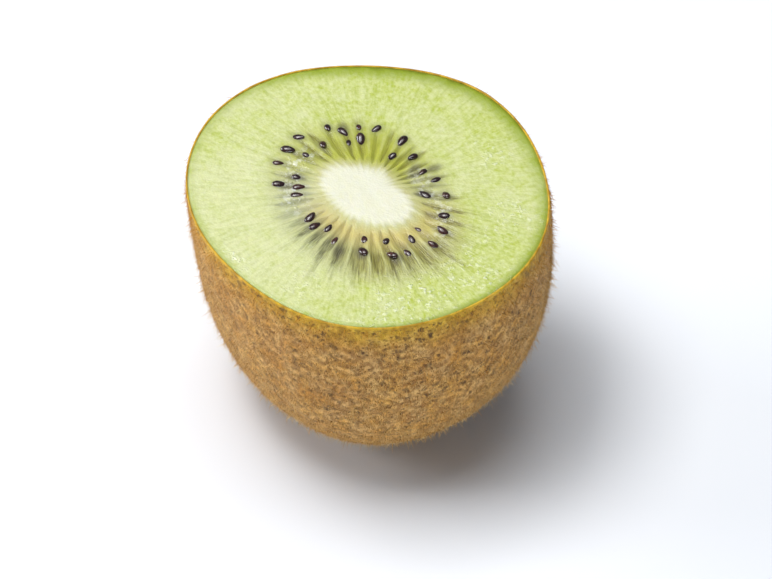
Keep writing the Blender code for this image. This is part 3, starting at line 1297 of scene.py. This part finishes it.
def leaning(tree, rotation):
    """The rotation of each hair: down the slope, then leaning over and turned at random."""
    sockets = {"Rotation": rotation, "Vector": (0.0, 0.0, -1.0)}
    kind = "FunctionNodeAlignRotationToVector"
    down_slope = step(tree, kind, sockets, axis="X", pivot_axis="Z")
    lean = joined(0.0, drawn(tree, -0.1, 0.9, 2), drawn(tree, -1.0, 1.0, 3))
    sockets = {"Rotation": down_slope, "Rotate By": step(tree, "FunctionNodeEulerToRotation", {0: lean})}
    return step(tree, "FunctionNodeRotateRotation", sockets, rotation_space="LOCAL")


# %% Hair tree
def hair_tree(sizes):
    """Hairs of a few shapes scattered over the outside of the skin."""
    tree, given = new_geometry_tree("Kiwi hairs", sizes)
    roots, rotation = hair_roots(tree, given)
    shapes = tree.nodes.new("GeometryNodeJoinGeometry")
    for number in range(HAIR_SHAPES):
        feed(shapes, {0: step(tree, "GeometryNodeGeometryToInstance", {0: bent_hair(tree, given, number)})})
    sockets = {
        "Points": roots,
        "Instance": Flow(shapes.outputs[0]),
        "Pick Instance": True,
        "Rotation": leaning(tree, rotation),
        "Scale": attribute(tree, "size"),
    }
    hairs = realized(step(tree, "GeometryNodeInstanceOnPoints", sockets))
    x, y, z = split(here(tree))
    hairs = move(hairs, Position=joined(x, y, calc("MAXIMUM", z, LOWEST_HAIR)))
    close_tree(smooth(hairs), HAIR)
    return tree


# %% Three kinds of hair
LONG_HAIR = {
    "Hairs per square metre": 4.2e6,
    "Spacing": 0.315 * MM,
    "Length": 1.6 * MM,
    "Thickness": 0.08 * MM,
    "Bend": 0.6,
    "Joints": 3,
    "Patch width": 4.0 * MM,
    "Tuft width": 1.0 * MM,
    "Thinnest": 0.4,
    "Highest root": CUT_HEIGHT - 0.15 * MM,
    "Seed": 11,
}
SHORT_HAIR = LONG_HAIR | {
    "Hairs per square metre": 6.0e6,
    "Spacing": 0.24 * MM,
    "Length": 0.75 * MM,
    "Thickness": 0.06 * MM,
    "Joints": 2,
    "Patch width": 1.5 * MM,
    "Highest root": CUT_HEIGHT - 0.05 * MM,
    "Seed": 12,
}
DOWN = SHORT_HAIR | {
    "Hairs per square metre": 13.0e6,
    "Spacing": 0.14 * MM,
    "Length": 0.42 * MM,
    "Thickness": 0.07 * MM,
    "Joints": 1,
    "Bend": 0.3,
    "Patch width": 0.9 * MM,
    "Thinnest": 0.2,
    "Seed": 13,
}

coat = {}
for name, sizes in {"long_hairs": LONG_HAIR, "short_hairs": SHORT_HAIR, "down": DOWN}.items():
    coat[name] = grow(name, hair_tree(sizes), sizes, skin.data.copy())

# %% [markdown]
# ## Floor and light
#
# The fruit stands on a plain white surface, as in a bright studio. Two large soft lamps above it light
# the cut face, and as one of them leans to the left, the shadow falls to the right. A low lamp on the left
# and a little behind draws that shadow out, and a long low strip in front lights the near side. The
# surroundings are a faint blue, which cools the shadow. The lamps are out of the camera's sight, so that
# only their light and gloss show.

# %% Floor and light
FLOOR_SIZE = 3.0


def make_floor():
    """A flat sheet of matt white card."""
    half = FLOOR_SIZE / 2
    corners = [(-half, -half, 0), (half, -half, 0), (half, half, 0), (-half, half, 0)]
    mesh = new_mesh("floor", corners, faces=[(0, 1, 2, 3)])
    material, tree, shader = new_material("white card")
    tone = mix(mottle(tree, 40.0, 1.0), (240, 242, 247), (237, 240, 245))
    feed(shader, {"Base Color": tone, "Roughness": 0.9, "Specular IOR Level": 0.1})
    mesh.materials.append(material)
    return new_object("floor", mesh)


# %% Lamps and surroundings
def make_lamp(name, towards, distance, size, watts, tint):
    """A soft lamp that shines on the fruit from a direction given as the viewer sees it."""
    light = bpy.data.lights.new(name, "AREA")
    light.shape = "RECTANGLE"
    light.size, light.size_y = size
    light.energy = watts
    light.color = tint
    lamp = new_object(name, light)
    lamp.location = Vector((0, 0, CUT_HEIGHT / 2)) + distance * from_viewer(*towards)
    aim(lamp, (0, 0, CUT_HEIGHT / 2))
    lamp.visible_camera = False


floor = make_floor()
make_lamp("key", (-0.36, 0.06, 1.0), 0.9, (0.5, 0.35), 4.6, (1.0, 0.99, 0.98))
make_lamp("overhead", (-0.05, 0.10, 1.0), 0.9, (0.7, 0.6), 4.7, (1.0, 0.99, 0.975))
make_lamp("left", (-1.0, 0.30, 0.26), 1.0, (0.5, 0.25), 6.3, (0.94, 0.97, 1.0))
make_lamp("fill", (0.1, -1.0, 0.07), 1.2, (1.5, 0.08), 7.8, (0.82, 0.92, 1.0))

world = bpy.data.worlds.new("studio")
world.use_nodes = True
feed(world.node_tree.nodes["Background"], {"Color": (0.6, 0.8, 1.0, 1.0), "Strength": 0.12})
bpy.context.scene.world = world
bpy.context.scene.view_settings.view_transform = "Standard"

# %% [markdown]
# ## The pieces and their sizes
#
# Every piece is tied to the body it moves with, and stands for the plain solid, which is hidden. The size
# of the dressed fruit is set beside the plain one's, and how far it grows beyond it is printed, to show
# that they agree.

# %% Tie the pieces to the frame
PIECES = {
    skin: "skin",
    flesh: "flesh",
    seed_piece: "seed",
    coat["long_hairs"]: "fuzz",
    coat["short_hairs"]: "fuzz",
    coat["down"]: "fuzz",
}
for piece, slot in PIECES.items():
    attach(piece, BODY)
    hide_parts(NODE)
floor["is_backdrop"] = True

dressed_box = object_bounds()
sizes = {
    "cad": [list(corner) for corner in plain_box],
    "visual": [list(corner) for corner in dressed_box],
}
for side, growth in (("low", plain_box[0] - dressed_box[0]), ("high", dressed_box[1] - plain_box[1])):
    print("grown beyond the plain half at the", side, "side, mm:", [round(end / MM, 2) for end in growth])
